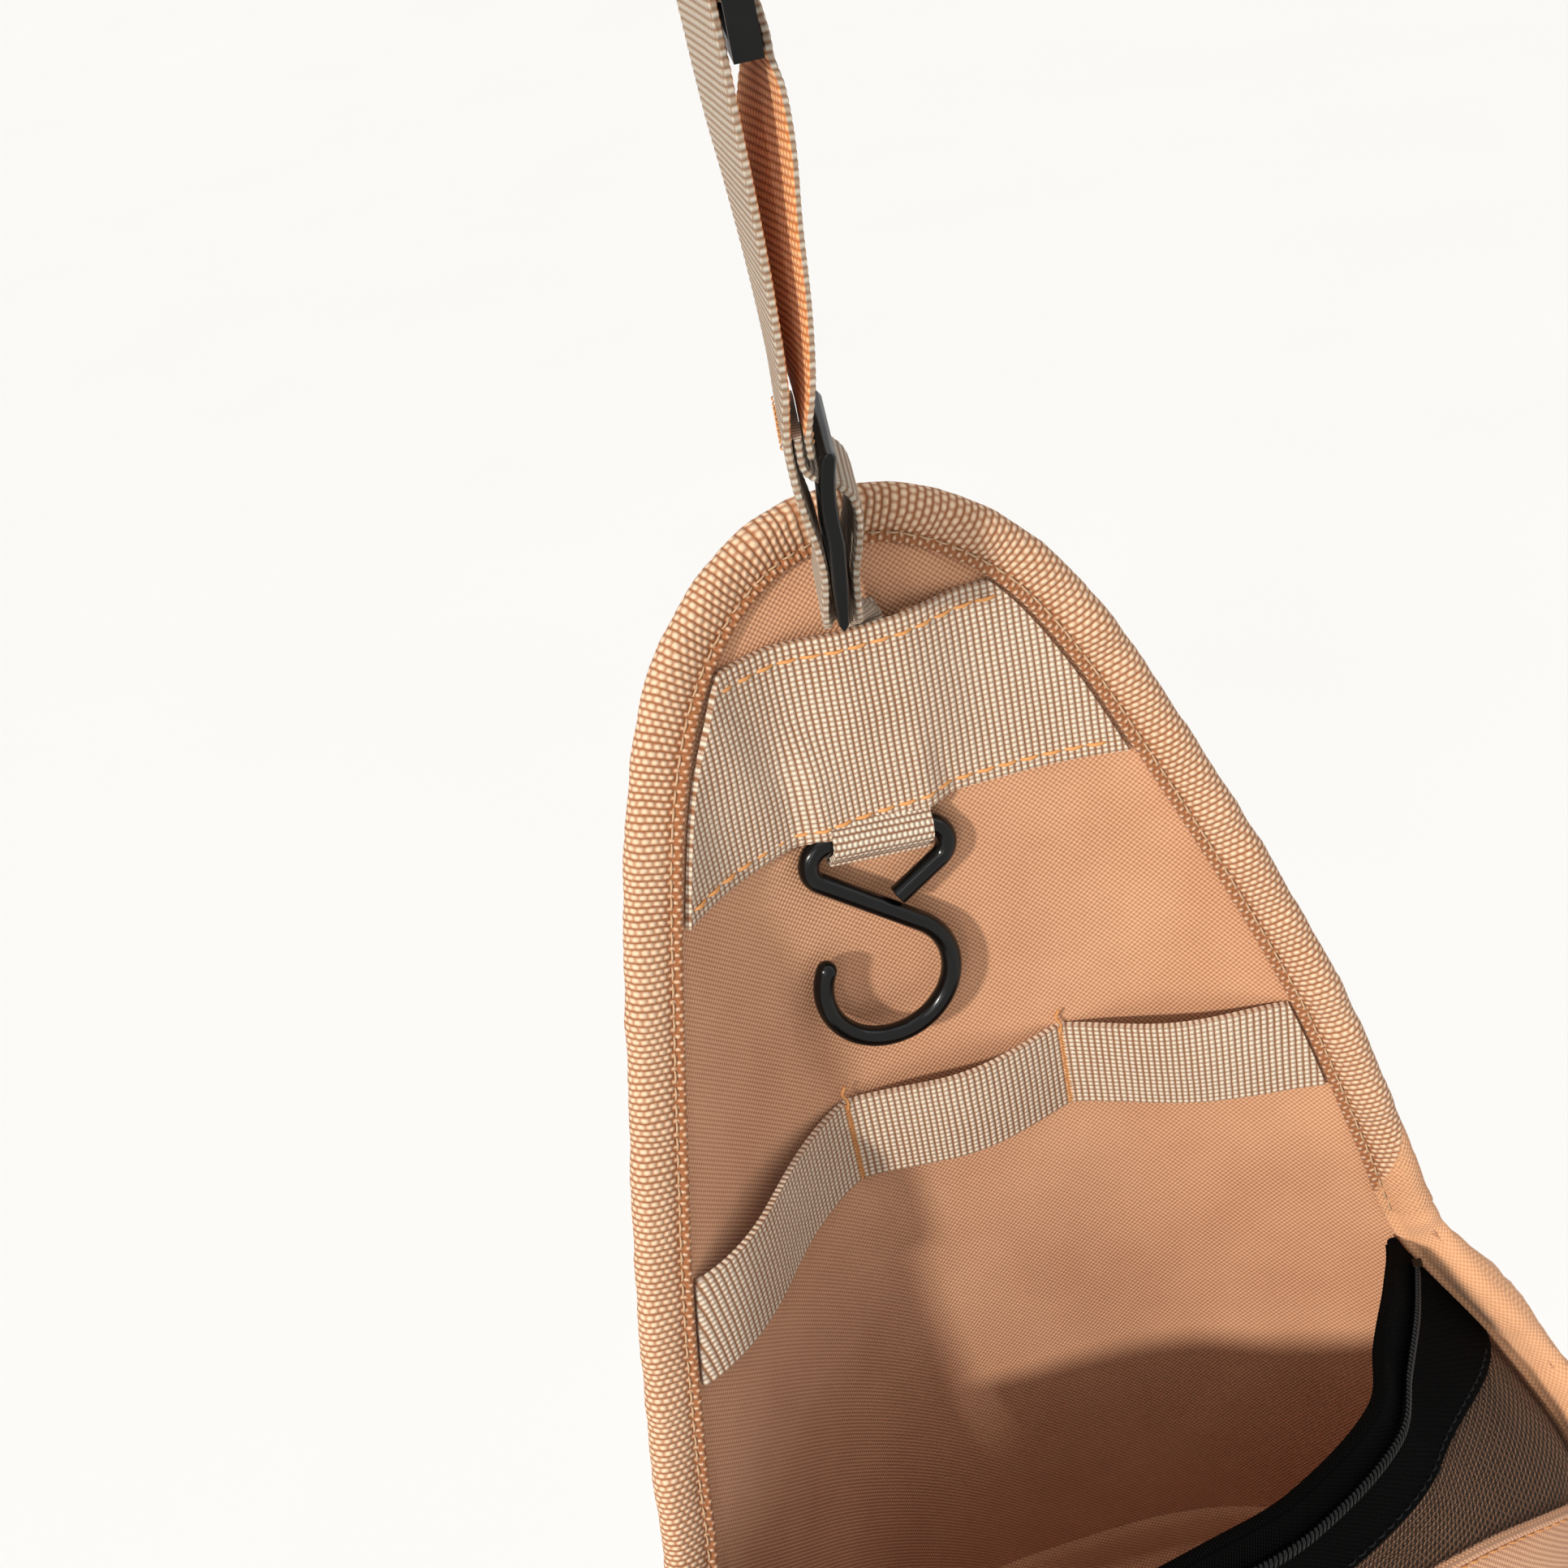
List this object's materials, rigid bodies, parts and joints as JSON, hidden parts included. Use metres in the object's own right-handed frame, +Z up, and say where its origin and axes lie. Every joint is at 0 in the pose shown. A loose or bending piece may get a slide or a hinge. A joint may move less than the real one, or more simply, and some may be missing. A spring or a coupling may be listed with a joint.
{
  "type": "hanging utensil storage bag",
  "caption": "Hanging bell-shaped fabric utensil bag with a webbing hanging loop, an S-hook on a tab, webbing utensil slots and a deep lower pocket with a zipped mesh front.",
  "frame": {"origin": "inside top of the hanging loop, where the bag's weight is carried", "axes": "+Z up, -Y out of the open front towards the user, +X to the viewer's right"},
  "size_m": [0.2707, 0.1357, 0.5435],
  "materials": {
    "tan_oxford": "plain-woven oxford, matt",
    "beige_webbing": "ribbed woven webbing",
    "foam": "closed-cell foam sheet",
    "black_tape": "woven zip tape",
    "black_mesh": "open knitted mesh",
    "black_plastic": "moulded, satin",
    "black_metal": "smooth black coating",
    "board": "stiffening board"
  },
  "bodies": {
    "bag": {"back_lining": "tan_oxford", "back_foam": "foam", "back_cover": "tan_oxford", "edge_binding": "beige_webbing", "wide_band": "beige_webbing", "utensil_band": "beige_webbing", "hook_tab": "beige_webbing", "pocket_wall": "tan_oxford", "zip_tape_upper": "black_tape", "rim_band": "black_tape", "mesh_panel": "black_mesh", "lower_wall": "tan_oxford", "base_piping": "beige_webbing", "base_panel": "tan_oxford", "base_board": "board", "zip_coil": "black_plastic", "zip_top_stop": "black_metal", "zip_bottom_stop": "black_metal", "strap_loop": "beige_webbing", "strap_right": "beige_webbing", "strap_fold": "beige_webbing", "buckle_female": "black_plastic"},
    "hook": {"s_hook": "black_metal"},
    "slider": {"zip_slider": "black_metal"},
    "pull": {"zip_pull": "black_metal"},
    "lock": {"ladder_lock": "black_plastic"},
    "buckle_tongue": {"buckle_male": "black_plastic"},
    "arm_near": {"prong_near": "black_plastic"},
    "arm_far": {"prong_far": "black_plastic"}
  },
  "joints": [
    {"name": "hook_swing", "type": "hinge", "parent": "bag", "child": "hook", "pos_m": [0.00399, 0.01539, -0.25943], "axis": [-0.9832, 0.1073, 0.1478], "range_deg": [0, 45]},
    {"name": "zip_slide", "type": "slide", "parent": "bag", "child": "slider", "axis": [0.6817, -0.7243, 0.1035], "range_m": [-0.008, 0.008]},
    {"name": "pull_swing", "type": "hinge", "parent": "slider", "child": "pull", "pos_m": [-0.07148, -0.06493, -0.40409], "axis": [0.0709, -0.0754, -0.9946], "range_deg": [0, 150]},
    {"name": "lock_slide", "type": "slide", "parent": "bag", "child": "lock", "axis": [0.0869, -0.0316, 0.9957], "range_m": [0, 0.002]},
    {"name": "buckle_pull", "type": "slide", "parent": "bag", "child": "buckle_tongue", "axis": [0, 0, -1], "range_m": [0, 0.025], "deforming": ["strap_right"]},
    {"name": "arm_far_squeeze", "type": "hinge", "parent": "buckle_tongue", "child": "arm_far", "pos_m": [0.00578, 0.01205, -0.059], "axis": [0.9563, -0.2924, 0], "range_deg": [0, 8], "stiffness_Nm_per_rad": 0.2},
    {"name": "arm_near_squeeze", "type": "hinge", "parent": "buckle_tongue", "child": "arm_near", "pos_m": [-0.00158, -0.01205, -0.059], "axis": [-0.9563, 0.2924, 0], "range_deg": [0, 8], "stiffness_Nm_per_rad": 0.2}
  ],
  "couplings": [
    {"joint": "arm_near_squeeze", "follows": "arm_far_squeeze", "ratio": 1}
  ]
}
